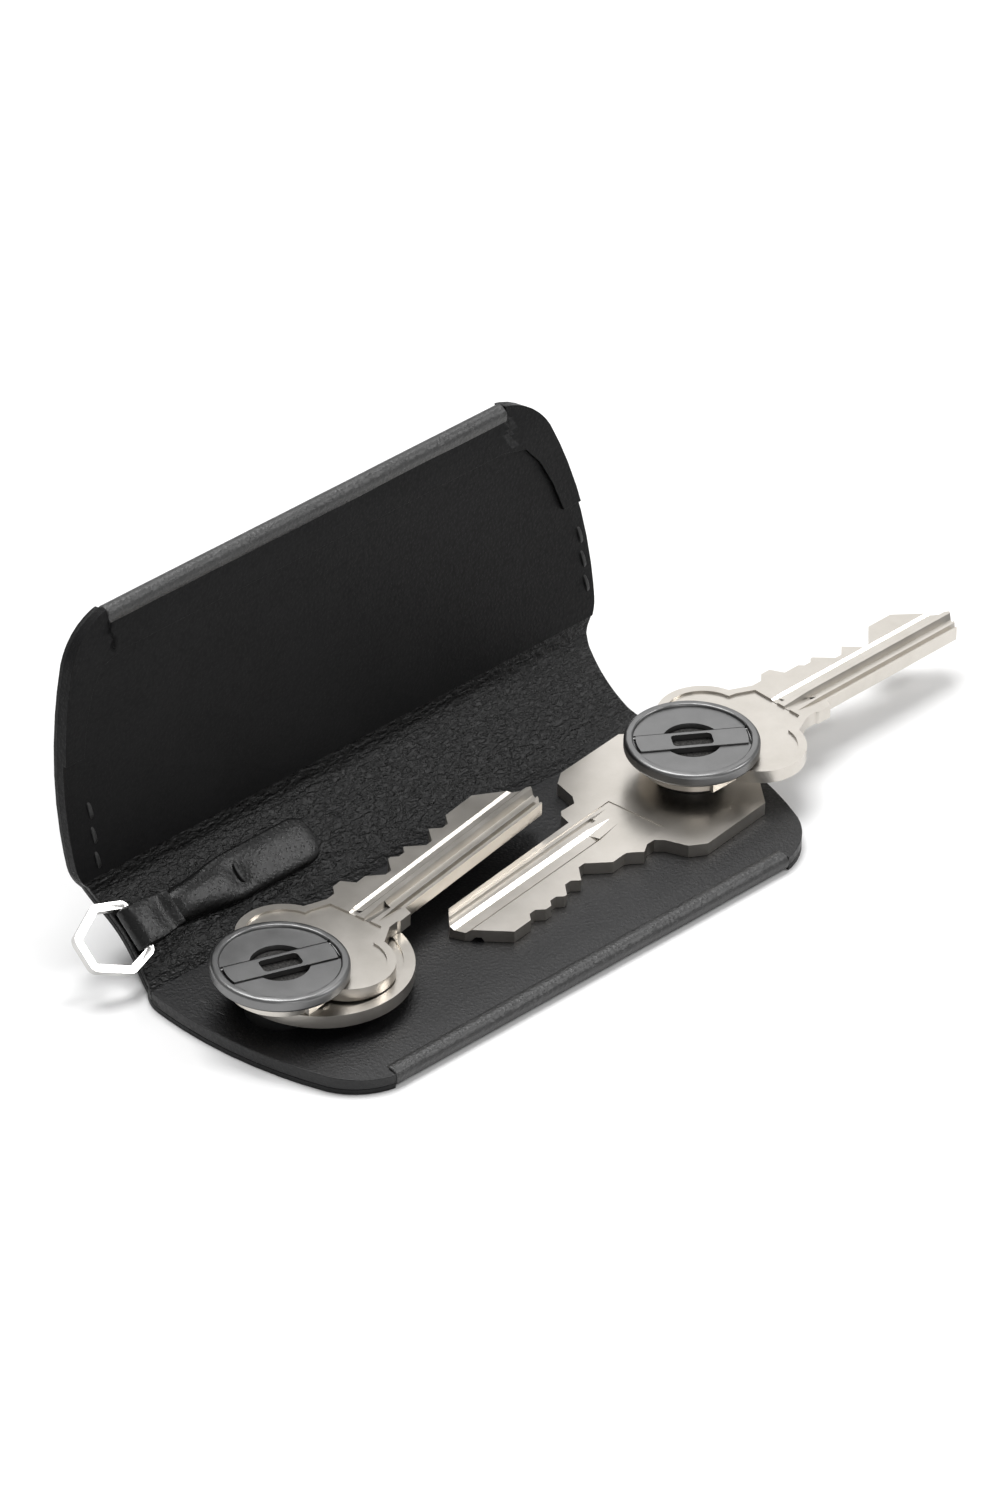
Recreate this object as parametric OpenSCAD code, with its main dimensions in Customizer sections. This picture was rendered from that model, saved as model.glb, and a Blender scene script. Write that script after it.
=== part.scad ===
/* [Cover] */
// Length of each stiff panel from its free edge to its fold line
panel_len = 37.8; // [37.4:0.1:38.2]
// Thickness of a panel: outer leather, board and lining
panel_t = 2.5; // [2.4:0.1:2.5]
// Thickness of the outer leather
leather_t = 0.9; // [0.8:0.1:1.0]
// Thickness of the stiffener board
board_t = 0.7; // [0.6:0.1:0.8]
// Half of the cover's greatest length, at the middle of its bowed ends
half_len = 47.6; // [47.2:0.1:48]
// Radius of the bowed ends
bow_r = 60; // [56:1:64]
// Corner radius at the free edge
corner_r = 10; // [9:0.5:11]
// Corner radius beside the spine
neck_r = 6; // [5.5:0.5:6.5]
// Length of the rolled magnetic edge
roll_len = 72; // [70:1:73]
// Width of the rolled edge across the panel
roll_w = 2.7; // [2.6:0.1:2.9]

/* [Spine] */
// Distance between the two fold lines
spine_w = 14.2; // [14.2:0.1:14.6]
// Thickness of the two spine leathers together
spine_t = 1.6; // [1.5:0.1:1.6]
// Angle of each fold as the cover stands open
fold = 39; // [37:0.5:41]

/* [Posts] */
// Half of the distance between the two posts
post_x = 37.7; // [37.5:0.1:37.8]
// Radius of the post barrel that the keys turn on
barrel_r = 3; // [2.9:0.05:3]
// Radius of the anchor flange under the lining
flange_r = 7; // [6:0.5:7]
// Radius of the screw heads
head_r = 9.15; // [9:0.05:9.2]
// Radius of the threaded stud
stud_r = 2; // [1.9:0.05:2]
// Turn of the left grip bar
left_bar_angle = -20; // [-40:1:40]
// Turn of the right grip bar
right_bar_angle = -34; // [-40:1:40]

/* [Keys] */
// Thickness of a key
key_t = 1.9; // [1.7:0.1:1.9]
// Angle of the upper left key
upper_left_angle = 9.5; // [8.5:0.5:10]
// Angle of the lower left key
lower_left_angle = 10.5; // [9.5:0.5:11]
// Angle of the upper right key
upper_right_angle = 0.5; // [-1:0.5:2]
// Angle of the lower right key, which points to the left
lower_right_angle = 187; // [185:0.5:188]

/* [Tab and ring] */
// Height of the tab's middle on the spine, from the lower fold line
tab_u = 6.95; // [6.9:0.05:7]
// Width of the tab
tab_w = 6.8; // [6.6:0.1:6.8]
// Thickness of the puffed tab
tab_t = 2.4; // [2.2:0.1:2.4]
// Radius of the ring's bar
bar_r = 0.6; // [0.55:0.05:0.6]

/* [Hidden] */
$fn = 64;

lining_z = leather_t + board_t;
lining_t = panel_t - lining_z;
fold_gap = 1.05;              // from a fold line to the end of the stiff panel
fold_z = spine_t / 2;         // the fold lines lie in the middle of the spine leathers
fold_y = 17.5;                // the lower fold line, with the posts at y = 0
panel_end = panel_len - fold_gap;
edge_gap = 0.05;              // between the stacked keys and washers
layer_z = [for (i = [0:2]) panel_t + edge_gap + i * (key_t + edge_gap)];
stack_top = layer_z[2] + key_t;
washer_t = 0.3;
head_z = stack_top + edge_gap;      // underside of the clamp washer
rim_z = head_z + 2;                 // top of the head's rim
floor_z = rim_z - 0.4;              // recess floor of the head
bar_z = rim_z - 0.95;               // underside of the grip bar
bar_t = 0.8;
bar_pivot_y = 1.5;
pin_r = 0.25;
key_bore_r = barrel_r + 0.06;
ring_x = -43.15;                    // axis of the ring's bar
ring_z = spine_t + 1.4;             // its height in the spine's own frame
ring_t = 1.1;

function arc(c, r, a0, a1, n) = [for (i = [0:n]) c + r * [cos(a0 + (a1 - a0) * i / n), sin(a0 + (a1 - a0) * i / n)]];
function mirrored(points) = [for (i = [len(points) - 1:-1:0]) [-points[i][0], points[i][1]]];

// Outline of a panel: x along the cover, y from the free edge to the fold
bow_c = [half_len - bow_r, 28];
corner_c = [bow_c[0] + sqrt(pow(bow_r - corner_r, 2) - pow(bow_c[1] - corner_r, 2)), corner_r];
neck_y = panel_end - neck_r * sin(45);
neck_c = [bow_c[0] + sqrt(pow(bow_r - neck_r, 2) - pow(neck_y - bow_c[1], 2)), neck_y];
corner_a = atan2(corner_c[1] - bow_c[1], corner_c[0] - bow_c[0]);
neck_a = atan2(neck_c[1] - bow_c[1], neck_c[0] - bow_c[0]);
neck_half = neck_c[0] + neck_r * cos(45);

function half_outline(inset) = concat(
    arc(corner_c, corner_r - inset, -90, corner_a, 10),
    arc(bow_c, bow_r - inset, corner_a + 2, neck_a - 2, 8),
    arc(neck_c, neck_r - inset, neck_a, 45, 6));

module panel_outline(inset = 0) {
    intersection() {
        polygon(concat(half_outline(inset), mirrored(half_outline(inset))));
        translate([-60, inset]) square([120, panel_end - 2 * inset]);
    }
}

module roll_notch() {
    translate([-roll_len / 2, -1]) square([roll_len, roll_w + 1]);
}

// Places: the base panel, the spine and the lid, each in its own flat frame
module on_base() { translate([0, fold_y - panel_len, 0]) children(); }
module on_spine() { translate([0, fold_y, fold_z]) rotate([fold, 0, 0]) translate([0, 0, -fold_z]) children(); }
module on_lid() {
    on_spine() translate([0, spine_w, fold_z]) rotate([fold, 0, 0]) translate([0, panel_len, -fold_z])
        mirror([0, 1, 0]) children();
}

// Layers of a panel
module outer_leather() {
    difference() {
        linear_extrude(lining_z) difference() { panel_outline(); roll_notch(); }
        translate([0, 0, leather_t]) board();
    }
}
module board() { linear_extrude(board_t) difference() { panel_outline(2); translate([-50, 0]) square([100, 5]); } }
module lining() { linear_extrude(lining_t) difference() { panel_outline(); roll_notch(); } }
module magnet_strip() { translate([-34, 0.75, 0.75]) cube([68, 1.2, 1]); }
module edge_roll() {
    r = panel_t / 2;
    difference() {
        translate([-roll_len / 2, 0, 0]) rotate([90, 0, 90]) linear_extrude(roll_len) union() {
            translate([r, r]) circle(r = r);
            translate([r, 0]) square([roll_w - r, panel_t]);
        }
        magnet_strip();
    }
}
// Saddle stitches near the ends, a row of slots in the lining
stitch = [0.6, 2.6, 0.3];
module stitches(rows) {
    for (row = rows, i = [0:row[2] - 1])
        translate([row[0] - stitch[0] / 2, row[1] + i * 3.6, panel_t - stitch[2]]) cube(stitch);
}
base_rows = [[-43.6, 23.7, 2], [43.6, 23.7, 2]];    // place along the cover, start, number
lid_rows = [[-43.6, 24.8, 3], [46.2, 22, 3]];

// Base panel
module base_outer_leather() { color("#151515") on_base() outer_leather(); }
module base_board() {
    color("#6b5a45") difference() {
        on_base() translate([0, 0, leather_t]) board();
        at_posts() cylinder(r = flange_r, h = lining_z);
    }
}
module base_lining() {
    color("#1b1b1b") difference() {
        on_base() translate([0, 0, lining_z]) lining();
        on_base() stitches(base_rows);
        at_posts() cylinder(r = barrel_r, h = panel_t + 1);
    }
}
module base_edge_roll() { color("#202020") on_base() edge_roll(); }
module base_magnet_strip() { color("#8a8a8a") on_base() magnet_strip(); }
module base_stitches() { color("#0c0c0c") on_base() stitches(base_rows); }

// Lid panel
module lid_outer_leather() { color("#151515") on_lid() outer_leather(); }
module lid_board() { color("#6b5a45") on_lid() translate([0, 0, leather_t]) board(); }
module lid_lining() {
    color("#1b1b1b") on_lid() difference() {
        translate([0, 0, lining_z]) lining();
        stitches(lid_rows);
    }
}
module lid_edge_roll() { color("#202020") on_lid() edge_roll(); }
module lid_magnet_strip() { color("#8a8a8a") on_lid() magnet_strip(); }
module lid_stitches() { color("#0c0c0c") on_lid() stitches(lid_rows); }

// Spine: two leathers whose ends roll round the fold lines
waist = 1.6;
waist_r = (pow(spine_w / 2, 2) + pow(waist, 2)) / (2 * waist);
module spine_slab() {
    rotate([90, 0, 90]) translate([0, 0, -neck_half]) linear_extrude(2 * neck_half) union() {
        for (u = [0, spine_w]) translate([u, fold_z]) circle(r = fold_z);
        square([spine_w, spine_t]);
    }
}
module spine_layer(z) {
    difference() {
        intersection() {
            spine_slab();
            translate([-60, -5, z]) cube([120, spine_w + 10, spine_t / 2]);
        }
        for (side = [-1, 1])
            translate([side * (neck_half - waist + waist_r), spine_w / 2, -1])
                cylinder(r = waist_r, h = spine_t + 2, $fn = 96);
    }
}
module spine_outer_leather() { color("#151515") on_spine() spine_layer(0); }
module spine_lining() { color("#1e1e1e") on_spine() spine_layer(fold_z); }

// Tab: a puffed strap, its padding, and the loop that holds the ring
tab_right = -11.5;
tab_neck = -36.8;
tab_low = tab_u - tab_w / 2;
module rounded_rect(size, r) {
    union() {
        translate([r, 0]) square([size[0] - 2 * r, size[1]]);
        translate([0, r]) square([size[0], size[1] - 2 * r]);
        for (x = [r, size[0] - r], y = [r, size[1] - r]) translate([x, y]) circle(r = r);
    }
}
module tab_padding() {
    translate([tab_neck + 3, tab_low + 1.2, spine_t + 0.8])
        linear_extrude(0.8) rounded_rect([tab_right - tab_neck - 5, tab_w - 2.4], 1.5);
}
module tab_thread() { translate([-25.4, tab_u - 1.5, spine_t + tab_t - 0.3]) cube([0.5, 3, 0.3]); }
module tab_strap() {
    color("#181818") on_spine() difference() {
        translate([tab_neck, tab_low, spine_t])
            linear_extrude(tab_t) rounded_rect([tab_right - tab_neck, tab_w], 2.2);
        tab_padding();
        tab_thread();
    }
}
module tab_core() { color("#5f5f5f") on_spine() tab_padding(); }
module tab_stitch() { color("#0c0c0c") on_spine() tab_thread(); }
loop_w = 5.9;
module tab_loop() {
    color("#151515") on_spine() difference() {
        translate([0, tab_u + loop_w / 2, 0]) rotate([90, 0, 0]) linear_extrude(loop_w) union() {
            translate([ring_x, ring_z]) circle(r = ring_z - spine_t);
            translate([ring_x, spine_t]) square([tab_neck - ring_x, 2.2]);
        }
        translate([ring_x, tab_u + loop_w, ring_z]) rotate([90, 0, 0]) cylinder(r = bar_r + 0.06, h = 2 * loop_w);
    }
}

// D-ring: a flat bent ring whose bar turns in the loop
module ring_corners(r) {
    hull() for (side = [-1, 1]) {
        translate([-43.9, side * 2.9]) circle(r = r[0]);
        translate([-47.2, side * 3.8]) circle(r = r[1]);
        translate([-51.2, side * 1.6]) circle(r = r[2]);
    }
}
module d_ring() {
    color("#d9d9d6") on_spine() translate([0, tab_u, ring_z]) union() {
        difference() {
            translate([0, 0, -ring_t / 2]) linear_extrude(ring_t) difference() {
                ring_corners([1.3, 1.4, 1.5]);
                ring_corners([0.2, 0.3, 0.4]);
            }
            translate([-43.9, -3.05, -1]) cube([2, 6.1, 2]);
        }
        translate([ring_x, 3.15, 0]) rotate([90, 0, 0]) cylinder(r = bar_r, h = 6.3);
    }
}

// Posts
module at_left() { translate([-post_x, 0, 0]) children(); }
module at_right() { translate([post_x, 0, 0]) children(); }
module at_posts() { at_left() children(); at_right() children(); }
module post_anchor() {
    difference() {
        union() {
            translate([0, 0, leather_t]) cylinder(r = flange_r, h = board_t);
            translate([0, 0, leather_t]) cylinder(r = barrel_r, h = stack_top - leather_t);
        }
        translate([0, 0, panel_t + 0.5]) cylinder(r = stud_r + 0.05, h = stack_top);
    }
}
module spacer(z) {
    translate([0, 0, z]) difference() {
        cylinder(r = 4.6, h = key_t);
        translate([0, 0, -1]) cylinder(r = key_bore_r, h = key_t + 2);
    }
}
module clamp_washer() {
    translate([0, 0, head_z]) difference() {
        cylinder(r = 5.5, h = washer_t);
        translate([0, 0, -1]) cylinder(r = stud_r + 0.05, h = washer_t + 2);
    }
}
// Head: rounded rim, flat recess for the grip bar and a finger pocket
rim_in = 7.9;
module head_profile() {
    edge = 0.55;
    low = head_z + 0.05;
    polygon(concat(
        [[0, head_z + washer_t + 0.02], [5.6, head_z + washer_t + 0.02], [5.6, low]],
        arc([head_r - edge, low + edge], edge, -90, 0, 6),
        arc([head_r - edge, rim_z - edge], edge, 0, 90, 6),
        arc([rim_in + 0.3, rim_z - 0.3], 0.3, 90, 180, 4),
        [[rim_in, floor_z], [4, floor_z], [4, rim_z - 1.4], [0, rim_z - 1.4]]));
}
module head() {
    difference() {
        rotate_extrude() head_profile();
        translate([-7.75, -2.1, bar_z - 0.05]) cube([15.5, 4.15, 2]);
        pins();
    }
}
module pins() {
    for (side = [-1, 1])
        translate([side * 7.45, bar_pivot_y, bar_z + bar_t / 2]) rotate([0, 90, 0])
            cylinder(r = pin_r, h = 1.7, center = true);
}
module head_stud() { translate([0, 0, 4.2]) cylinder(r = stud_r, h = head_z + washer_t + 0.02 - 4.2); }
module grip_bar() {
    difference() {
        intersection() {
            union() {
                translate([-8, -2, bar_z]) cube([16, 2 + bar_pivot_y, bar_t]);
                translate([-8, bar_pivot_y, bar_z + bar_t / 2]) rotate([0, 90, 0]) cylinder(r = bar_t / 2, h = 16);
            }
            translate([0, 0, bar_z - 1]) cylinder(r = 7.55, h = 3);
        }
        translate([0, 0, bar_z - 1]) linear_extrude(3) translate([-2.75, -1.5]) rounded_rect([5.5, 2.6], 0.6);
        for (side = [-1, 1])
            translate([side * 7.5, bar_pivot_y, bar_z + bar_t / 2]) rotate([0, 90, 0])
                cylinder(r = pin_r + 0.05, h = 2, center = true);
    }
}
module left_post_anchor() { color("#77777a") at_left() post_anchor(); }
module right_post_anchor() { color("#77777a") at_right() post_anchor(); }
module left_spacer_washer() { color("#141414") at_left() spacer(layer_z[0]); }
module right_spacer_washer() { color("#141414") at_right() spacer(layer_z[1]); }
module left_clamp_washer() { color("#8c8c8e") at_left() clamp_washer(); }
module right_clamp_washer() { color("#8c8c8e") at_right() clamp_washer(); }
module left_head() { color("#6f7072") at_left() rotate(left_bar_angle) head(); }
module right_head() { color("#6f7072") at_right() rotate(right_bar_angle) head(); }
module left_head_stud() { color("#8f8f90") at_left() head_stud(); }
module right_head_stud() { color("#8f8f90") at_right() head_stud(); }
module left_grip_bar() { color("#7d7e80") at_left() rotate(left_bar_angle) grip_bar(); }
module right_grip_bar() { color("#7d7e80") at_right() rotate(right_bar_angle) grip_bar(); }
module left_grip_pins() { color("#b0b0b0") at_left() rotate(left_bar_angle) pins(); }
module right_grip_pins() { color("#b0b0b0") at_right() rotate(right_bar_angle) pins(); }

// Keys: hole at the origin, blade along +x
rim_step = 0.3;
module cut(x, edge, depth) {
    translate([x, edge]) polygon([[-1.6 - depth, 1], [-0.6 - depth, 0], [-0.6, -depth],
        [0.6, -depth], [0.6 + depth, 0], [1.6 + depth, 1]]);
}
module bitting(edge, cuts) { for (c = cuts) cut(c[0], edge, c[1]); }
// Milled groove along a blade: sloping sides, and a tapering run-out where the cutter lifts
module groove_bar(x0, x1, w, depth) {
    side = 0.25 * w / depth;
    translate([x0, 0, 0]) rotate([90, 0, 90]) linear_extrude(x1 - x0)
        polygon([[-w / 2 - side, 1], [-w / 2, 0], [-w / 4, -depth], [w / 4, -depth], [w / 2, 0], [w / 2 + side, 1]]);
}
module groove(x0, y, w, depth) {
    run = 9 * depth;
    translate([x0, y, 0]) union() {
        groove_bar(run, 60, w, depth);
        translate([run, 0, -depth]) rotate([0, atan(depth / run), 0]) translate([0, 0, depth])
            groove_bar(-run - 2, 0.02, w, depth);
    }
}
module top_groove(x0, y, w, depth) { translate([0, 0, key_t]) groove(x0, y, w, depth); }
module under_groove(x0, y, w, depth) { rotate([180, 0, 0]) groove(x0, -y, w, depth); }
module key_hole() { translate([0, 0, -1]) cylinder(r = key_bore_r, h = key_t + 2); }

module lobed_bow(inset) {
    for (side = [-1, 1]) translate([7.6, side * 5]) circle(r = 6.5 - inset);
    circle(r = 7 - inset);
    translate([4, 0]) square([14 - 2 * inset, 14 - 2 * inset], center = true);
    polygon([[7, -8 + inset], [14, -6.4 + inset], [17, -5 + inset], [19.5, -5 + inset],
        [19.5, 5.2 - inset], [17, 5.2 - inset], [14, 6.6 - inset], [7, 8 - inset]]);
}
module lobed_key(reach, cuts) {
    difference() {
        union() {
            linear_extrude(key_t) difference() { lobed_bow(0); lobed_bow(1.2); }
            translate([0, 0, rim_step]) linear_extrude(key_t - 2 * rim_step) lobed_bow(0.5);
            linear_extrude(key_t) difference() {
                polygon([[16.5, -4.9], [18.6, -4.9], [19, -5.3], [21.2, -5.3], [21.8, -4], [reach - 2.2, -4],
                    [reach, -0.5], [reach - 2, 0.7], [reach - 6.5, 4.4], [22.4, 4.4], [21.4, 6.3],
                    [19.8, 6.3], [18.6, 5.2], [16.5, 5.2]]);
                bitting(4.4, cuts);
            }
        }
        top_groove(14.5, 0.6, 1.5, 0.35);
        top_groove(14.5, -1.7, 1.7, 0.75);
        top_groove(17, -3.3, 0.8, 0.5);
        under_groove(15, -0.2, 1.4, 0.6);
        key_hole();
    }
}
module round_key() {
    difference() {
        union() {
            difference() {
                translate([7.6, -0.9, 0]) cylinder(r = 12.4, h = key_t);
                translate([7.6, -0.9, key_t - rim_step]) cylinder(r = 10.9, h = 1);
                translate([7.6, -0.9, rim_step - 1]) cylinder(r = 10.9, h = 1);
            }
            linear_extrude(key_t) difference() {
                polygon([[17, -3.4], [22, -3.4], [22, -2.4], [45.5, -2.4], [47, 0.6], [44.5, 3.4], [22, 3.4],
                    [22, 4.4], [17, 4.4]]);
                bitting(3.4, [[27, 1.2], [31, 1.8], [35, 0.9], [39, 1.5]]);
            }
        }
        top_groove(16, -0.6, 1.2, 0.6);
        under_groove(16, 0.6, 1.2, 0.6);
        key_hole();
    }
}
module square_key() {
    difference() {
        linear_extrude(key_t) difference() {
            polygon([[-4.5, -9.8], [-1.2, -13.2], [11, -13.4], [13.2, -12.2], [14.3, -8.8], [15.4, -7.6], [18, -7.8],
                [18.8, -7.1], [19.4, -5.4], [45.1, -5.1], [48, -2.6], [47.3, -0.6], [43.4, 4.6], [20.2, 4.6],
                [19.4, 5.2], [18.2, 6.4], [16.6, 5.6], [15.2, 5.7], [14.3, 6.8], [13.3, 10], [11.2, 11.6],
                [-1.2, 11.6], [-4.5, 8.2]]);
            bitting(4.6, [[25.9, 2.7], [30.2, 1.6], [34.3, 0.8], [38.4, 1]]);
        }
        translate([12, -4.5, key_t - 0.12]) cube([40, 9.2, 1]);
        top_groove(12.5, -3.5, 1, 0.45);
        top_groove(14, -1.2, 3, 0.6);
        under_groove(19, 0.8, 1.4, 0.6);
        key_hole();
    }
}
module upper_left_key() { color("#c9c4ba") translate([-post_x, 0, layer_z[2]]) rotate(upper_left_angle)
    lobed_key(54.3, [[26.8, 1.9], [31.2, 0.8], [35.5, 2.1], [40, 1.4]]); }
module lower_left_key() { color("#bfbbb2") translate([-post_x, 0, layer_z[1]]) rotate(lower_left_angle) round_key(); }
module lower_right_key() { color("#cbc5b8") translate([post_x, 0, layer_z[0]]) rotate(lower_right_angle) square_key(); }
module upper_right_key() { color("#c9c4ba") translate([post_x, 0, layer_z[2]]) rotate(upper_right_angle)
    lobed_key(49.5, [[26.2, 0.6], [30.6, 2.2], [35.2, 2.9]]); }

base_outer_leather();
base_board();
base_lining();
base_edge_roll();
base_magnet_strip();
base_stitches();
lid_outer_leather();
lid_board();
lid_lining();
lid_edge_roll();
lid_magnet_strip();
lid_stitches();
spine_outer_leather();
spine_lining();
tab_strap();
tab_core();
tab_loop();
tab_stitch();
d_ring();
left_post_anchor();
right_post_anchor();
left_spacer_washer();
right_spacer_washer();
left_clamp_washer();
right_clamp_washer();
left_head();
right_head();
left_head_stud();
right_head_stud();
left_grip_bar();
right_grip_bar();
left_grip_pins();
right_grip_pins();
upper_left_key();
lower_left_key();
lower_right_key();
upper_right_key();
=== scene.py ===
import bpy, bmesh, math
from mathutils import Matrix, Vector, noise


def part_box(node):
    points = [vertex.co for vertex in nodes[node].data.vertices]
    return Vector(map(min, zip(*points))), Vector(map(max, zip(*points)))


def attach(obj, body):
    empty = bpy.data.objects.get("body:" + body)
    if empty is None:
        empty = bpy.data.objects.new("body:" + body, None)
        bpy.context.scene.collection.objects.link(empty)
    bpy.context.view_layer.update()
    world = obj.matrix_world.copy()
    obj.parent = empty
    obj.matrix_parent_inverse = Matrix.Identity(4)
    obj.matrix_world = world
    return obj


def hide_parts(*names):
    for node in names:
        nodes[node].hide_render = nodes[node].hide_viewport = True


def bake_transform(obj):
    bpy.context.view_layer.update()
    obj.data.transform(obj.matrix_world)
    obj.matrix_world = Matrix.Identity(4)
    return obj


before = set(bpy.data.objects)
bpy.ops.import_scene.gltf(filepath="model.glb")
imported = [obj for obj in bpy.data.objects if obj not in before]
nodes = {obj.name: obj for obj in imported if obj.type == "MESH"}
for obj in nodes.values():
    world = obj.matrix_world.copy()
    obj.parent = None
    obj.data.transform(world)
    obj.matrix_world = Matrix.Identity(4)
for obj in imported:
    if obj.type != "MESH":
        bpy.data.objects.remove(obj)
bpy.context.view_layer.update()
MM = 0.001

# ---------------------------------------------------------------- sizes, in millimetres
FOLD = math.radians(39)      # each fold of the open cover
PANEL = 37.8                 # free edge to fold line
SPINE = 14.2                 # between the two fold lines
FOLD_Y = 17.5                # lower fold line
MID = 0.8                    # middle of the spine's two leathers
BEND = 7.0                   # radius at which the leathers really bend
TANGENT = BEND * math.tan(FOLD / 2)
OUTER = 0.8                  # outer leather
SPINE_TOP = 1.6              # top of the spine's inner leather
LINING_TOP = 2.5             # top of the linings
FIELD = 1.95                 # pressed field of the lid's lining
BORDER = 6.4                 # straight part of its raised border
BORDER_END = 18.4            # where the border runs out at the sides
ROLL = 1.4                   # depth of the rolled edge
TOTAL = 2 * PANEL + SPINE
MIDDLE = PANEL + SPINE / 2   # halfway between the folds
ROLL_HALF = 36.0             # half of the rolled edge's length
POST_X = 37.7                # screw post to the middle of the cover
TAB_U = 6.95                 # middle of the tab, from the lower fold
TAB_HALF = 12.65             # half of its length
TAB_X = -24.15               # its middle across the cover
STITCH = 2.9                 # length of a side stitch
STITCH_STEP = 3.6            # from one stitch to the next


# ---------------------------------------------------------------- mesh helpers
def whole(bm):
    """Everything in a bmesh, as its cutting operators ask for it."""
    return bm.verts[:] + bm.edges[:] + bm.faces[:]


def new_points(made):
    """The points that an operator has just made."""
    return [g for g in made["geom"] if isinstance(g, bmesh.types.BMVert)]


def finish_mesh(bm, name, smooth=40):
    """Turns a bmesh in millimetres into an object at the origin, in metres."""
    bmesh.ops.remove_doubles(bm, verts=bm.verts, dist=1e-4)
    bmesh.ops.recalc_face_normals(bm, faces=bm.faces)
    bmesh.ops.scale(bm, verts=bm.verts, vec=(MM,) * 3)
    mesh = bpy.data.meshes.new(name)
    bm.to_mesh(mesh)
    bm.free()
    piece = bpy.data.objects.new(name, mesh)
    bpy.context.scene.collection.objects.link(piece)
    mesh.shade_smooth()
    mesh.set_sharp_from_angle(angle=math.radians(smooth))
    return piece


def soften(piece, width, segments=2, angle=30):
    """Breaks the edges, as tumbling, burnishing or a worn die does."""
    bevel = piece.modifiers.new("soft_edges", "BEVEL")
    bevel.width = width * MM
    bevel.segments = segments
    bevel.limit_method = "ANGLE"
    bevel.angle_limit = math.radians(angle)
    bevel.harden_normals = True
    bevel.use_clamp_overlap = True
    return piece


def merged_copy(node, flat=3.0):
    """A merged copy of a hard part, its triangles joined back into whole faces."""
    bm = bmesh.new()
    bm.from_mesh(nodes[node].data)
    bmesh.ops.scale(bm, verts=bm.verts, vec=(1 / MM,) * 3)
    bmesh.ops.remove_doubles(bm, verts=bm.verts, dist=0.002)
    bmesh.ops.dissolve_limit(bm, angle_limit=math.radians(flat), verts=bm.verts, edges=bm.edges)
    return bm


def machined(node, name, finish, body, edge=0.1, segments=2, flat=True):
    """A hard piece with the shape of its CAD node, its edges broken by edge millimetres."""
    piece = soften(finish_mesh(merged_copy(node), name, smooth=30), edge, segments)
    if flat:
        # Large faces keep one normal, so that they shine evenly
        level = piece.modifiers.new("flat_faces", "WEIGHTED_NORMAL")
        level.keep_sharp = True
        level.weight = 90
    piece.data.materials.append(finish)
    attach(piece, body)
    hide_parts(node)
    return piece


# ---------------------------------------------------------------- the cover's shape
def half_width(s):
    """Half of the cover's width at s along it, from the base's free edge round to the lid's."""
    s = min(s, TOTAL - s)
    if s < 6.4:
        return 34.25 + math.sqrt(100 - (10 - s) ** 2)
    if s < 33:
        return -12.4 + math.sqrt(3600 - (s - 28) ** 2)
    if s < 36.75:
        return 41.41 + math.sqrt(36 - (s - 32.51) ** 2)
    return 44.05 + 1.6 * ((PANEL + SPINE / 2 - s) / (SPINE / 2 + 1.05)) ** 2


def along(s, n):
    """The place (y, z) of a point s along the cover and n above its outer face, as it stands open."""
    y = FOLD_Y - PANEL + s
    z = MID
    turned = 0.0
    for line in (PANEL, PANEL + SPINE):
        past = s - line
        if past > -TANGENT:
            arc = min((past + TANGENT) / (2 * TANGENT), 1) * FOLD
            corner_y, corner_z = (FOLD_Y, MID) if line == PANEL else (
                FOLD_Y + SPINE * math.cos(FOLD), MID + SPINE * math.sin(FOLD))
            start = turned
            cy = corner_y - TANGENT * math.cos(start) - BEND * math.sin(start)
            cz = corner_z - TANGENT * math.sin(start) + BEND * math.cos(start)
            turned = start + arc
            if past < TANGENT:
                y, z = cy + BEND * math.sin(turned), cz - BEND * math.cos(turned)
            else:
                y, z = corner_y + past * math.cos(turned), corner_z + past * math.sin(turned)
    return y - (n - MID) * math.sin(turned), z + (n - MID) * math.cos(turned)


def rows(first, last):
    """Places of the rows of a leather: close together where its outline or its section turns."""
    corner = [10 * (1 - math.cos(math.radians(a))) for a in range(0, 69, 8)]
    half = corner + [2.2, 3.0, 3.8, 4.6, 9, 12, 16, 20, 24, 28, 31, 33, 33.8, 34.6, 35.3, 35.9, 36.4] + [
        36.8 + 0.58 * i for i in range(15)]
    every = sorted(set(round(v, 3) for v in half + [TOTAL - v for v in half] + [first, last]))
    kept = [v for v in every if first <= v <= last]
    return [v for i, v in enumerate(kept) if i == 0 or v - kept[i - 1] > 0.05 or v == last]


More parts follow.
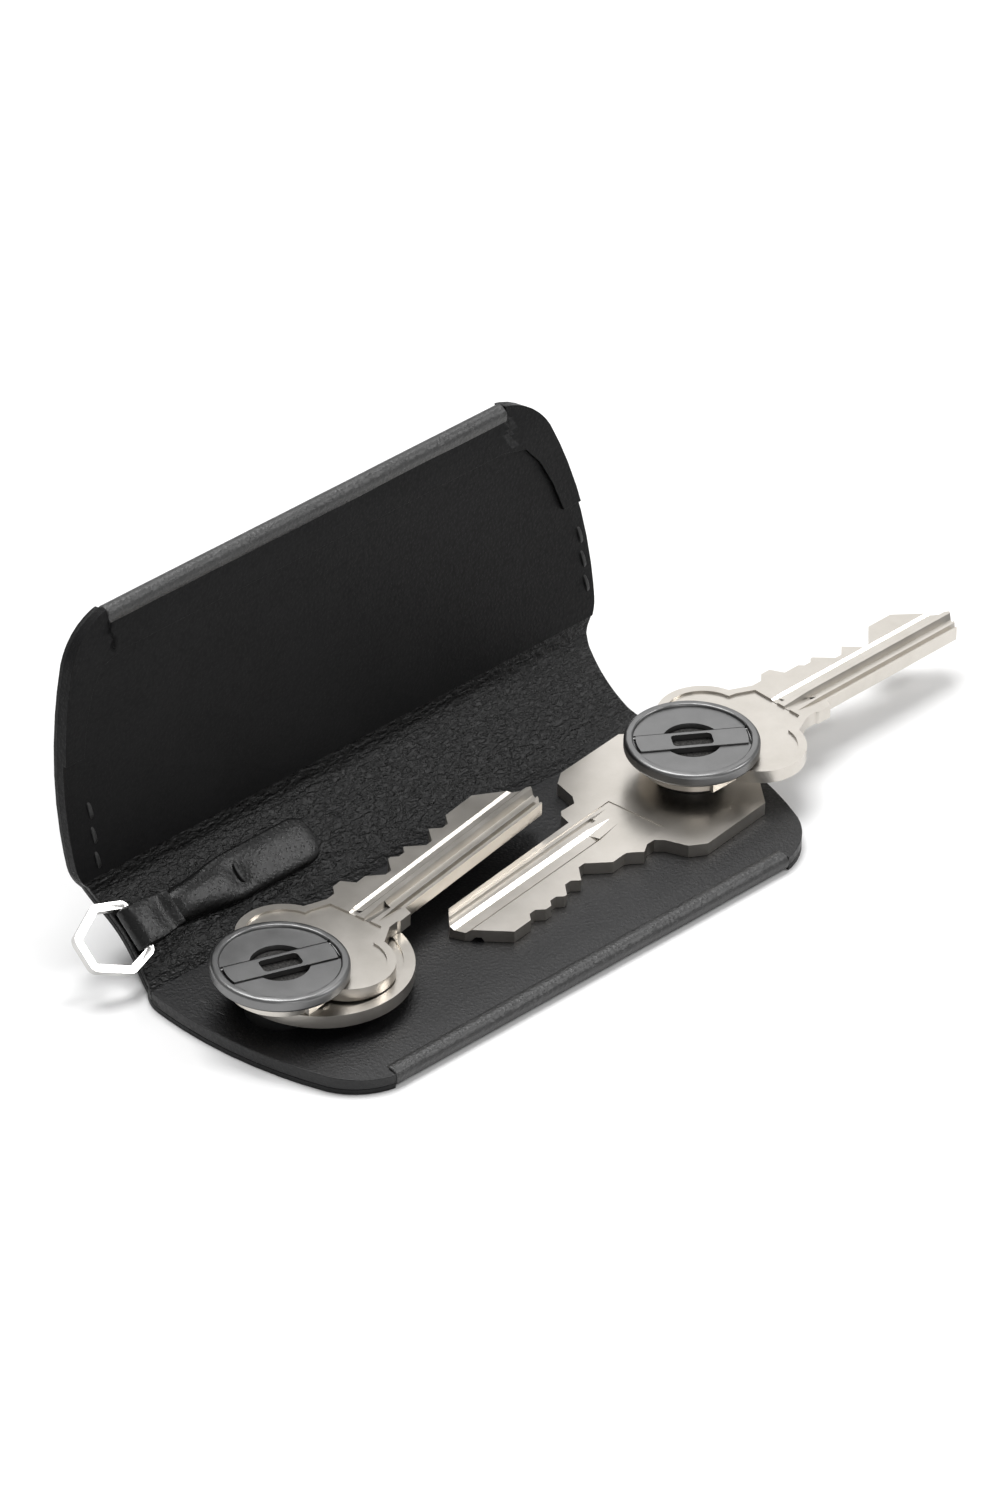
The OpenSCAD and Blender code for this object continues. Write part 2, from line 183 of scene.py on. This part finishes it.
def flat_leather(first, last, low, high, columns=40):
    """A leather cut to the cover's outline, still flat: x across, y along it, z from low to high."""
    places = rows(first, last)
    bm = bmesh.new()
    bmesh.ops.create_grid(bm, x_segments=columns, y_segments=len(places) - 1, size=1)
    for v in bm.verts:
        s = places[round((v.co.y + 1) / 2 * (len(places) - 1))]
        v.co = (v.co.x * half_width(s), s, low)
    across, along_it = (1, 0, 0), (0, 1, 0)
    for edge in (ROLL, TOTAL - ROLL):
        cuts = ((-ROLL_HALF, 0, 0), across), ((ROLL_HALF, 0, 0), across), ((0, edge, 0), along_it)
        for point, normal in cuts:
            bmesh.ops.bisect_plane(bm, geom=whole(bm), plane_co=point, plane_no=normal)
    under_roll = [f for f in bm.faces if abs(f.calc_center_median().x) < ROLL_HALF
                  and not ROLL < f.calc_center_median().y < TOTAL - ROLL]
    bmesh.ops.delete(bm, geom=under_roll, context="FACES")
    raised = bmesh.ops.extrude_face_region(bm, geom=bm.faces[:])
    bmesh.ops.translate(bm, verts=new_points(raised), vec=(0, 0, high - low))
    bmesh.ops.recalc_face_normals(bm, faces=bm.faces)
    # The two halves of a leather meet in the middle of the spine without a seam
    cut = [f for f in bm.faces if all(abs(v.co.y - MIDDLE) < 0.01 for v in f.verts)]
    bmesh.ops.delete(bm, geom=cut, context="FACES")
    return bm


def lay(bm):
    """Folds a flat leather to the open cover's curve."""
    for v in bm.verts:
        y, z = along(v.co.y, v.co.z)
        v.co = (v.co.x, y, z)
    return bm


# ---------------------------------------------------------------- materials
def hexcolor(code):
    """sRGB hex to the linear values that the shader takes."""
    def linear(c):
        return c / 12.92 if c <= 0.04045 else ((c + 0.055) / 1.055) ** 2.4
    return tuple(linear(int(code[i:i + 2], 16) / 255) for i in (1, 3, 5)) + (1,)


def material(name, **sockets):
    mat = bpy.data.materials.new(name)
    mat.use_nodes = True
    shader = mat.node_tree.nodes["Principled BSDF"]
    for key, value in sockets.items():
        shader.inputs[key.replace("_", " ")].default_value = value
    return mat, mat.node_tree, shader


def node(tree, kind, links=(), inputs=None, stops=(), **settings):
    """Adds one node: settings on it, values on its inputs, colour stops, and links from (node, output)."""
    n = tree.nodes.new(kind)
    for i, (place, color) in enumerate(stops):
        if i >= 2:
            n.color_ramp.elements.new(place)
        n.color_ramp.elements[i].position = place
        n.color_ramp.elements[i].color = hexcolor(color)
    for key, value in settings.items():
        setattr(n, key, value)
    for key, value in (inputs or {}).items():
        n.inputs[key].default_value = value
    for key, (source, output) in links:
        tree.links.new(source.outputs[output], n.inputs[key])
    return n


def per_mm(size):
    """Texture scale for features of that size in millimetres."""
    return 1000 / size


def leather(name, dark, light, grain, depth, rough, crease=0.0, spec=0.5):
    """Leather with grain cells grain millimetres wide and depth deep, and creases crease deep."""
    mat, tree, shader = material(name, Roughness=rough, Specular_IOR_Level=spec)
    where = node(tree, "ShaderNodeTexCoord")
    # Uneven dye, in patches about 9 mm across
    patch = node(tree, "ShaderNodeTexNoise", [("Vector", (where, "Object"))],
                 {"Scale": per_mm(9), "Detail": 5.0, "Roughness": 0.6})
    color = node(tree, "ShaderNodeValToRGB", [("Fac", (patch, "Fac"))], stops=[(0.3, dark), (0.75, light)])
    tree.links.new(color.outputs["Color"], shader.inputs["Base Color"])
    # Grain cells, bent a little so that none is a straight-sided polygon
    warp = node(tree, "ShaderNodeTexNoise", [("Vector", (where, "Object"))],
                {"Scale": per_mm(grain * 1.6), "Detail": 2.0})
    shifted = node(tree, "ShaderNodeVectorMath", [(0, (warp, "Color"))],
                   {1: (grain * MM * 0.9,) * 3}, operation="MULTIPLY")
    moved = node(tree, "ShaderNodeVectorMath", [(0, (where, "Object")), (1, (shifted, "Vector"))],
                 operation="ADD")
    cells = node(tree, "ShaderNodeTexVoronoi", [("Vector", (moved, "Vector"))],
                 {"Scale": per_mm(grain)}, feature="SMOOTH_F1")
    rounded = node(tree, "ShaderNodeValToRGB", [("Fac", (cells, "Distance"))],
                   stops=[(0.1, "#ffffff"), (0.75, "#000000")])
    fine = node(tree, "ShaderNodeTexNoise", [("Vector", (where, "Object"))],
                {"Scale": per_mm(grain * 0.35), "Detail": 3.0})
    height = node(tree, "ShaderNodeMath", [(0, (rounded, "Color")), (1, (fine, "Fac"))],
                  operation="MULTIPLY")
    bump = node(tree, "ShaderNodeBump", [("Height", (height, "Value"))],
                {"Strength": 1.0, "Distance": depth * MM})
    last = bump
    if crease:
        # Folding draws the grain into fine creases along the fold
        stretch = node(tree, "ShaderNodeMapping", [("Vector", (moved, "Vector"))], {"Scale": (0.4, 1, 1)})
        lines = node(tree, "ShaderNodeTexNoise", [("Vector", (stretch, "Vector"))],
                     {"Scale": per_mm(0.5), "Detail": 2.0, "Roughness": 0.5})
        ridge = node(tree, "ShaderNodeValToRGB", [("Fac", (lines, "Fac"))],
                     stops=[(0.38, "#000000"), (0.6, "#ffffff")])
        last = node(tree, "ShaderNodeBump", [("Height", (ridge, "Color")), ("Normal", (bump, "Normal"))],
                    {"Strength": 1.0, "Distance": crease * MM})
    tree.links.new(last.outputs["Normal"], shader.inputs["Normal"])
    # Rubbed tops of the grain shine more than its valleys
    gloss = node(tree, "ShaderNodeMapRange", [("Value", (rounded, "Color"))],
                 {"From Min": 0.0, "From Max": 1.0, "To Min": min(rough + 0.14, 1), "To Max": rough - 0.06})
    tree.links.new(gloss.outputs["Result"], shader.inputs["Roughness"])
    return mat


def metal(name, dark, light, rough, turn=0.0, lines=0.0, speckle=0.004, wear=0.08):
    """A metal: lines is the depth of the brushing, which runs along x turned by turn degrees.

    Real brush marks, near 0.05 mm apart, are too fine to show and are drawn at 0.22 mm.
    """
    mat, tree, shader = material(name, Metallic=1.0, Roughness=rough)
    where = node(tree, "ShaderNodeTexCoord")
    patch = node(tree, "ShaderNodeTexNoise", [("Vector", (where, "Object"))],
                 {"Scale": per_mm(5), "Detail": 6.0, "Roughness": 0.65})
    color = node(tree, "ShaderNodeValToRGB", [("Fac", (patch, "Fac"))], stops=[(0.3, dark), (0.7, light)])
    tree.links.new(color.outputs["Color"], shader.inputs["Base Color"])
    gloss = node(tree, "ShaderNodeMapRange", [("Value", (patch, "Fac"))],
                 {"From Min": 0.3, "From Max": 0.7, "To Min": rough - wear, "To Max": rough + wear})
    tree.links.new(gloss.outputs["Result"], shader.inputs["Roughness"])
    turned = node(tree, "ShaderNodeMapping", [("Vector", (where, "Object"))],
                  {"Rotation": (0, 0, math.radians(-turn))})
    squeezed = node(tree, "ShaderNodeMapping", [("Vector", (turned, "Vector"))], {"Scale": (0.04, 1, 1)})
    brush = node(tree, "ShaderNodeTexNoise", [("Vector", (squeezed, "Vector"))],
                 {"Scale": per_mm(0.22), "Detail": 4.0})
    first = node(tree, "ShaderNodeBump", [("Height", (brush, "Fac"))],
                 {"Strength": 1.0, "Distance": lines * MM})
    pits = node(tree, "ShaderNodeTexNoise", [("Vector", (where, "Object"))],
                {"Scale": per_mm(0.3), "Detail": 3.0})
    second = node(tree, "ShaderNodeBump", [("Height", (pits, "Fac")), ("Normal", (first, "Normal"))],
                  {"Strength": 1.0, "Distance": speckle * MM})
    tree.links.new(second.outputs["Normal"], shader.inputs["Normal"])
    return mat


def plain(name, dark, light, rough, size, depth):
    """A dull material whose grain is size millimetres wide and depth deep."""
    mat, tree, shader = material(name, Roughness=rough)
    where = node(tree, "ShaderNodeTexCoord")
    grain = node(tree, "ShaderNodeTexNoise", [("Vector", (where, "Object"))],
                 {"Scale": per_mm(size), "Detail": 5.0, "Roughness": 0.7})
    color = node(tree, "ShaderNodeValToRGB", [("Fac", (grain, "Fac"))], stops=[(0.35, dark), (0.7, light)])
    tree.links.new(color.outputs["Color"], shader.inputs["Base Color"])
    bump = node(tree, "ShaderNodeBump", [("Height", (grain, "Fac"))],
                {"Strength": 1.0, "Distance": depth * MM})
    tree.links.new(bump.outputs["Normal"], shader.inputs["Normal"])
    return mat


# Corrected-grain cowhide, plated smooth: an even black with a fine, low grain
smooth_cowhide = leather("plated_cowhide", "#0a0a0b", "#111112", 0.42, 0.05, 0.42, spec=0.16)
# The same lining under the keys, rubbed to a gloss by them
rubbed_cowhide = leather("rubbed_cowhide", "#0c0c0d", "#131314", 0.42, 0.07, 0.4, spec=0.45)
# The same hide on the outside of the cover, a little glossier from handling
outer_cowhide = leather("burnished_cowhide", "#0c0c0d", "#161617", 0.5, 0.06, 0.46, spec=0.28)
# Milled cowhide: low pebbles that catch the light, drawn into creases by the folds
pebbled_cowhide = leather("milled_cowhide", "#0a0a0a", "#0f0f0f", 0.52, 0.12, 0.29, crease=0.1, spec=0.3)
# The same hide over padding, stretched so its pebbles are finer
padded_cowhide = leather("stretched_cowhide", "#0a0a0a", "#0f0f0f", 0.45, 0.06, 0.28, spec=0.38)
# Rolled edge: hide pulled tight round the magnet, rubbed to a soft sheen
rolled_cowhide = leather("rolled_cowhide", "#121212", "#1f1f1f", 0.42, 0.1, 0.36, spec=0.9)
# Waxed polyester thread: dull black with a slight sheen
waxed_thread = plain("waxed_thread", "#101010", "#2a2a2a", 0.45, 0.25, 0.05)
# Speckled rubber under the grip: black with paler crumbs, and matt; over the pocket floor round the hole
# its dark colour is painted shade
rubber_and_painted_shade = plain("speckled_rubber", "#080808", "#4a4846", 0.85, 0.32, 0.2)
# Pressed fibre board, sealed inside the leathers: matt brown, with short fibres
fibre_board = plain("fibre_board", "#5b4a38", "#7a6650", 0.9, 0.8, 0.03)
# Closed-cell foam in the tab: dark grey and dead matt
closed_foam = plain("closed_cell_foam", "#2b2b2b", "#3c3c3c", 0.95, 0.4, 0.05)
# Nickel-plated magnet strip: grey and evenly bright
plated_magnet = metal("nickel_plated_magnet", "#8d8d8c", "#a5a5a3", 0.35)
# Bead-blasted, gunmetal-plated steel: dark satin, in faintly uneven patches
gunmetal = metal("gunmetal_plated_steel", "#787878", "#828282", 0.36, speckle=0.003, wear=0.03)
# Turned steel of the posts and washers
turned_steel = metal("turned_steel", "#6f6f6f", "#868685", 0.34, speckle=0.003, wear=0.04)
# Spacers between the keys, coloured black to paint the shade that falls under the screw heads: a dull,
# faintly waxy finish
spacer_painted_shade = plain("spacer_painted_shade", "#0b0b0b", "#151515", 0.4, 0.5, 0.01)
# Polished nickel plate: near-mirror, with a few hazy patches
polished_nickel = metal("polished_nickel_plate", "#c4c3c1", "#d0cfcd", 0.22, speckle=0.001, wear=0.03)


def nickel_silver(name, turn):
    """Nickel silver key blank: warm pale metal, its blade milled along its length."""
    return metal(name, "#c6c1b9", "#d2cdc6", 0.3, turn=turn, lines=0.004, speckle=0.0, wear=0.02)


def bend_over(piece):
    """Bakes a leather's placement into its mesh."""
    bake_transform(piece)


def outer_leather(name, first, last, line, *stands_for):
    """The outer leather from first to last along the cover, bent at the fold within its span; the fold line
    given is not used.
    """
    piece = finish_mesh(lay(flat_leather(first, last, 0, OUTER)), name)
    piece.data.materials.append(outer_cowhide)
    soften(piece, 0.22, 3, 50)
    bend_over(piece)
    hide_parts(*stands_for)
    return piece


outer_leather("outer_leather_lower", 0, MIDDLE, 1, "base_outer_leather", "spine_outer_leather")
outer_leather("outer_leather_upper", MIDDLE, TOTAL, 2, "lid_outer_leather")


def spine_leather(name, first, last, line, *stands_for):
    """The spine's inner leather, from first to last along the cover."""
    bm = flat_leather(first, last, OUTER, SPINE_TOP, columns=90)
    for v in bm.verts:
        if v.co.z > 1.2:
            # Shallow waves along the fold, where the leather gathers as the cover closes
            wave = noise.noise(Vector((v.co.x * 0.05, v.co.y * 0.8, 3.7)))
            near = math.exp(-min(abs(v.co.y - PANEL), abs(v.co.y - PANEL - SPINE)) / 3.0)
            # It climbs a little where the stiff boards end under it
            over_board = min(max((PANEL - min(v.co.y, TOTAL - v.co.y)) / 0.8, 0), 1)
            v.co.z += 0.07 * wave * near - 0.03 + 0.24 * over_board
    piece = finish_mesh(lay(bm), name)
    piece.data.materials.append(pebbled_cowhide)
    soften(piece, 0.2, 2, 50)
    bend_over(piece)
    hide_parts(*stands_for)
    return piece


spine_leather("spine_leather_lower", 32.5, MIDDLE, 1, "spine_lining")
spine_leather("spine_leather_upper", MIDDLE, TOTAL - 33.5, 2)


def lining(name, first, last, body, stands_for, finish, pressed):
    """The smooth lining over the board; the lid's has a pressed field inside a raised border."""
    bm = flat_leather(first, last, OUTER, FIELD if pressed else LINING_TOP, columns=44)
    if pressed:
        # Border line: straight along the free edge, then round each corner to the side
        corner = [(34.5, BORDER), (38.4, 7.4), (40.6, 10.2), (42.3, 14.0), (43.6, BORDER_END)]
        planes = [((0, TOTAL - BORDER, 0), Vector((0, 1, 0)))]
        for (x0, t0), (x1, t1) in zip(corner, corner[1:]):
            for side in (-1, 1):
                run = Vector((side * (x1 - x0), t0 - t1, 0))
                out = Vector((0, 0, 1)).cross(run).normalized()
                if out.x * side < 0:
                    out = -out
                planes.append(((side * x0, TOTAL - t0, 0), out))
        for point, normal in planes + [((0, TOTAL - BORDER_END, 0), Vector((0, 1, 0)))]:
            bmesh.ops.bisect_plane(bm, geom=whole(bm), plane_co=point, plane_no=normal)
        border = [f for f in bm.faces if f.normal.z > 0.9 and f.calc_center_median().z > 1
                  and f.calc_center_median().y > TOTAL - BORDER_END
                  and any((f.calc_center_median() - Vector(p)).dot(n) > 0.001 for p, n in planes)]
        raised = bmesh.ops.extrude_face_region(bm, geom=border)
        bmesh.ops.translate(bm, verts=new_points(raised), vec=(0, 0, LINING_TOP - FIELD))
        bmesh.ops.delete(bm, geom=border, context="FACES")
    # The lining dips towards the rolled edge
    dip = 5.5
    for v in bm.verts:
        t = min(v.co.y, TOTAL - v.co.y)
        if v.co.z > OUTER + 0.1 and t < dip:
            v.co.z -= (0.3 if pressed else 0.42) * (1 - (t / dip)) ** 1.5
    piece = finish_mesh(lay(bm), name)
    piece.data.materials.append(finish)
    soften(piece, 0.16 if pressed else 0.3, 2, 40)
    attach(piece, body)
    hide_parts(stands_for)
    return piece


lining("base_lining_panel", 0, 34.6, "cover_base", "base_lining", rubbed_cowhide, False)
lining("lid_lining_panel", TOTAL - 35.6, TOTAL, "lid", "lid_lining", smooth_cowhide, True)


def rolled_edge(name, body, stands_for):
    """Leather rolled round the magnet: a full bead with closed, rounded ends."""
    radius, centre = 1.27, 1.25
    steps = 24
    end = Matrix.Translation((-ROLL_HALF, centre, centre)) @ Matrix.Rotation(math.pi / 2, 4, "Y")
    bm = bmesh.new()
    bmesh.ops.create_circle(bm, cap_ends=True, radius=radius, segments=24, matrix=end)
    for step in range(steps):
        face = bm.faces[:] if step == 0 else [g for g in made["geom"] if isinstance(g, bmesh.types.BMFace)]
        made = bmesh.ops.extrude_face_region(bm, geom=face)
        if step:
            bmesh.ops.delete(bm, geom=face, context="FACES")
        bmesh.ops.translate(bm, verts=new_points(made), vec=(2 * ROLL_HALF / steps, 0, 0))
    for v in bm.verts:
        # The bead's back runs into the panel, and the leather waves a little along it
        if v.co.y > 1.3:
            v.co.y = 1.3 + (v.co.y - 1.3) * 1.5
        if abs(v.co.x) < ROLL_HALF - 1:
            v.co.z += 0.05 * noise.noise(Vector((v.co.x * 0.12, 0, 1.3)))
    for v in bm.verts:
        s = v.co.y if body == "cover_base" else TOTAL - v.co.y
        y, z = along(s, v.co.z)
        v.co = (v.co.x, y, z)
    piece = finish_mesh(bm, name, smooth=50)
    piece.data.materials.append(rolled_cowhide)
    soften(piece, 0.3, 3, 50)
    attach(piece, body)
    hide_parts(stands_for)
    return piece


rolled_edge("base_rolled_edge", "cover_base", "base_edge_roll")
rolled_edge("lid_rolled_edge", "lid", "lid_edge_roll")


def stitching(name, body, stands_for, places, level):
    """Saddle stitches: short thread lengths that dip into the leather at both ends, slightly slanted."""
    one = bmesh.new()
    bmesh.ops.create_cube(one, size=1, matrix=Matrix.Diagonal((0.6, STITCH, 0.5, 1)))
    bmesh.ops.subdivide_edges(one, edges=[e for e in one.edges if e.calc_length() > 2], cuts=5)
    for v in one.verts:
        t = v.co.y / (STITCH / 2)
        v.co.x *= 1 - 0.5 * t ** 4
        v.co.z = v.co.z * (1 - 0.4 * t ** 4) - 0.3 * t ** 4
    stitch = bpy.data.meshes.new("one_stitch")
    one.to_mesh(stitch)
    one.free()
    slant = Matrix.Rotation(math.radians(8), 4, "Z")
    bm = bmesh.new()
    for x, s in places:
        first = len(bm.verts)
        bm.from_mesh(stitch)
        bm.verts.ensure_lookup_table()
        bmesh.ops.transform(bm, verts=bm.verts[first:], matrix=Matrix.Translation((x, s, level)) @ slant)
    piece = finish_mesh(lay(bm), name)
    piece.data.materials.append(waxed_thread)
    soften(piece, 0.14, 3, 30)
    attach(piece, body)
    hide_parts(stands_for)
    return piece


stitching("base_thread", "cover_base", "base_stitches",
          [(side * 43.6, 25 + i * STITCH_STEP) for side in (-1, 1) for i in range(2)], 2.3)
stitching("lid_thread", "lid", "lid_stitches",
          [(x, TOTAL - start - i * STITCH_STEP)
           for x, start in ((-43.6, 26.1), (46.2, 23.3)) for i in range(3)], 1.98)


# ---------------------------------------------------------------- tab, loop and ring

def on_spine(bm):
    """From the spine's own flat frame (x, along, up) to the open cover."""
    turn = Matrix.Translation((0, FOLD_Y, MID)) @ Matrix.Rotation(FOLD, 4, "X")
    turn = turn @ Matrix.Translation((0, 0, -MID))
    bmesh.ops.transform(bm, matrix=turn, verts=bm.verts)
    return bm


def tab():
    """Puffed strap: flat and full at its round end, drawn in at the stitch, waisted towards the ring."""
    # Straight part of the cube's length, and the real length of each round end
    straight, end = 0.62, 3.2
    bm = bmesh.new()
    bmesh.ops.create_cube(bm, size=2)
    bmesh.ops.subdivide_edges(bm, edges=bm.edges[:], cuts=23, use_grid_fill=True)
    for v in bm.verts:
        a, b, c = v.co
        # Round both ends: past the straight part, a square patch becomes a rounded one
        if abs(a) <= straight:
            x, b2, edge = a / straight * (TAB_HALF - end), b, abs(b)
        else:
            e = (abs(a) - straight) / (1 - straight)
            edge = max(e, abs(b))
            pull_in = edge / (e ** 3 + abs(b) ** 3) ** (1 / 3)
            x, b2 = math.copysign(TAB_HALF - end + end * e * pull_in, a), b * pull_in
        # Round the upper and lower rims, tightly below and full above
        rim = (edge ** 6 + abs(c) ** 6) ** (1 / 6) if edge + abs(c) > 0 else 1
        swell = 1 / max(rim, 1)
        x, b2, c2 = TAB_X + x * (0.96 + 0.04 * swell), b2 * swell, c * swell
        neck = min(max((-25.5 - x) / 8.0, 0), 1)
        neck = neck * neck * (3 - 2 * neck)
        half = 3.4 - 0.8 * neck
        crown = 1 - (0.12 + 0.22 * neck) * abs(b2) ** 2.4 - 0.1 * max((x + 15.0) / 3.5, 0) ** 2
        pull = math.exp(-((x + 25.2) / 0.9) ** 2) * math.exp(-(b2 * 3.4 / 1.9) ** 4)
        fall = 0.35 * min(max((-33.0 - x) / 3.8, 0), 1) ** 2
        up = 1.45 + (c2 + 1) / 2 * (2.2 * crown + 0.3 * neck - fall)
        if c2 > 0:
            up -= 0.5 * pull * c2
            up += 0.07 * c2 * noise.noise(Vector((x * 0.4, b2 * 1.5, 0.4)))
        v.co = (x, TAB_U + b2 * half, up)
    piece = finish_mesh(on_spine(bm), "padded_tab", smooth=70)
    piece.data.materials.append(padded_cowhide)
    smooth = piece.modifiers.new("full_curve", "SUBSURF")
    smooth.levels = smooth.render_levels = 1
    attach(piece, "spine")
    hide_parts("tab_strap")


tab()


def loop():
    """The strap's narrow end, folded round the ring's bar and pinched where it goes under the tab."""
    bm = bmesh.new()
    steps = 26
    bmesh.ops.create_grid(bm, x_segments=steps, y_segments=12, size=1)
    straight, radius = 6.6, 1.38
    turn_length = math.pi * (radius - 0.4)
    whole = 2 * straight + turn_length
    for v in bm.verts:
        d = (v.co.x + 1) / 2 * whole
        side = v.co.y
        if d < straight:
            x, up, nx, nz = -36.5 - d, 3.98, 0, 1
        elif d < straight + turn_length:
            a = (d - straight) / turn_length * math.pi
            x = -36.5 - straight - (radius - 0.4) * math.sin(a)
            up = 3.0 + (radius - 0.4) * math.cos(a)
        else:
            x, up = -36.5 - straight + (d - straight - turn_length), 2.02
        near = min(max((x + 41.5) / 4.5, 0), 1)
        half = 2.95 - 0.5 * near * near
        if d < straight:
            up -= 0.55 * math.exp(-((x + 38.6) / 1.5) ** 2) * (1 - 0.5 * side * side)
            up += 0.1 * noise.noise(Vector((x * 0.9, side * 1.4, 2.2)))
            up -= 0.22 * side ** 4
        v.co = (x, TAB_U + side * half, up)
    bmesh.ops.recalc_face_normals(bm, faces=bm.faces)
    piece = finish_mesh(on_spine(bm), "ring_loop", smooth=70)
    thick = piece.modifiers.new("hide", "SOLIDIFY")
    thick.thickness, thick.offset = 0.8 * MM, 0
    soften(piece, 0.2, 2, 50)
    smooth = piece.modifiers.new("full_curve", "SUBSURF")
    smooth.levels = smooth.render_levels = 1
    piece.data.materials.append(padded_cowhide)
    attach(piece, "spine")
    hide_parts("tab_loop")


loop()

# The one stitch that draws the tab in, bowed as the thread pulls
bm = bmesh.new()
at_waist = Matrix.Translation((-25.2, TAB_U, 3.55)) @ Matrix.Diagonal((0.45, STITCH, 0.5, 1))
bmesh.ops.create_cube(bm, size=1, matrix=at_waist)
bmesh.ops.subdivide_edges(bm, edges=[e for e in bm.edges if e.calc_length() > 1], cuts=6)
for v in bm.verts:
    bow = ((v.co.y - TAB_U) / (STITCH / 2)) ** 2
    v.co.z -= 0.22 * bow
    v.co.x += 0.35 * bow
tab_thread = soften(finish_mesh(on_spine(bm), "tab_thread"), 0.12, 3)
tab_thread.data.materials.append(waxed_thread)
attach(tab_thread, "spine")
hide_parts("tab_stitch")

machined("d_ring", "ring", polished_nickel, "ring", 0.22, 3, flat=False)

# ---------------------------------------------------------------- keys
# Node, body, and the turn of its blade in degrees
KEYS = [("upper_left_key", "key_upper_left", 9.5), ("lower_left_key", "key_lower_left", 10.5),
        ("lower_right_key", "key_lower_right", 7), ("upper_right_key", "key_upper_right", 0.5)]
for name, body, turn in KEYS:
    finish = nickel_silver("nickel_silver_" + name[:-4], turn)
    machined(name, name + "_blank", finish, body, 0.09, 2)

# ---------------------------------------------------------------- screw heads
for side in ("left", "right"):
    x = -POST_X if side == "left" else POST_X
    screw = side + "_screw"
    machined(side + "_head", side + "_screw_head", gunmetal, screw, 0.1, 2)
    machined(side + "_grip_bar", side + "_grip", gunmetal, side + "_grip", 0.16, 2)
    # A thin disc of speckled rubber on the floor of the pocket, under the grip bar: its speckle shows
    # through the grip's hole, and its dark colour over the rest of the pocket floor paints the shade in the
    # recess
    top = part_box(side + "_head")[1].z / MM
    at_floor = Matrix.Translation((x, 0, top - 1.35))
    bm = bmesh.new()
    bmesh.ops.create_circle(bm, cap_ends=True, radius=3.9, segments=48, matrix=at_floor)
    made = bmesh.ops.extrude_face_region(bm, geom=bm.faces[:])
    bmesh.ops.translate(bm, verts=new_points(made), vec=(0, 0, 0.18))
    pad = soften(finish_mesh(bm, side + "_grip_cushion"), 0.06, 2)
    pad.data.materials.append(rubber_and_painted_shade)
    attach(pad, screw)

# ---------------------------------------------------------------- CAD parts that keep their own mesh
# The spacer washers take the black painted-shade finish
OWN = {"post_anchor": turned_steel, "spacer_washer": spacer_painted_shade, "clamp_washer": turned_steel,
       "head_stud": turned_steel, "grip_pins": turned_steel, "board": fibre_board,
       "magnet_strip": plated_magnet, "tab_core": closed_foam}
for name, part in nodes.items():
    for ending, finish in OWN.items():
        if name.endswith(ending):
            part.data.materials.clear()
            part.data.materials.append(finish)

# ---------------------------------------------------------------- floor, light, camera
bm = bmesh.new()
bmesh.ops.create_grid(bm, x_segments=2, y_segments=2, size=3000)
floor_plane = finish_mesh(bm, "studio_floor")
floor_plane.location.z = -0.00002
paper = plain("matt_paper", "#f1f1f1", "#f4f4f4", 0.9, 60, 0.0)
floor_plane.data.materials.append(paper)

world = bpy.data.worlds.new("studio")
bpy.context.scene.world = world
world.use_nodes = True
world.node_tree.nodes["Background"].inputs["Color"].default_value = (1, 1, 1, 1)
world.node_tree.nodes["Background"].inputs["Strength"].default_value = 0.35


def softbox(name, place, target, size, power):
    """A rectangular soft light, in metres and watts."""
    data = bpy.data.lights.new(name, "AREA")
    data.shape, data.size, data.size_y, data.energy = "RECTANGLE", size[0], size[1], power
    light = bpy.data.objects.new(name, data)
    bpy.context.scene.collection.objects.link(light)
    light.location = place
    light.rotation_euler = (Vector(target) - Vector(place)).to_track_quat("-Z", "Y").to_euler()
    return light


softbox("overhead_softbox", (0.05, 0.25, 0.9), (0, 0.02, 0.01), (0.7, 0.5), 8)
softbox("back_right_softbox", (0.53, 0.52, 0.51), (0, 0, 0.01), (0.75, 0.5), 1.05)
softbox("front_right_softbox", (0.55, -0.42, 0.62), (0, 0.02, 0.01), (0.26, 0.26), 2.2)
softbox("front_softbox", (-0.35, -0.75, 0.35), (0, 0, 0.02), (0.5, 0.25), 1.0)
bpy.context.scene.view_settings.view_transform = "Standard"

right = Vector((0.71542378, -0.69835718, 0.02158859))
down = Vector((-0.38203302, -0.41686618, -0.82478686))
forward = Vector((0.58499538, 0.58182457, -0.56503148))
camera_data = bpy.data.cameras.new("camera")
camera_data.sensor_width = 36
camera_data.lens = 266.4
camera_data.clip_end = 20
camera = bpy.data.objects.new("camera", camera_data)
bpy.context.scene.collection.objects.link(camera)
pose = Matrix((right, -down, -forward)).transposed().to_4x4()
pose.translation = Vector((-0.845608, -0.842539, 0.843286))
camera.matrix_world = pose
bpy.context.scene.camera = camera
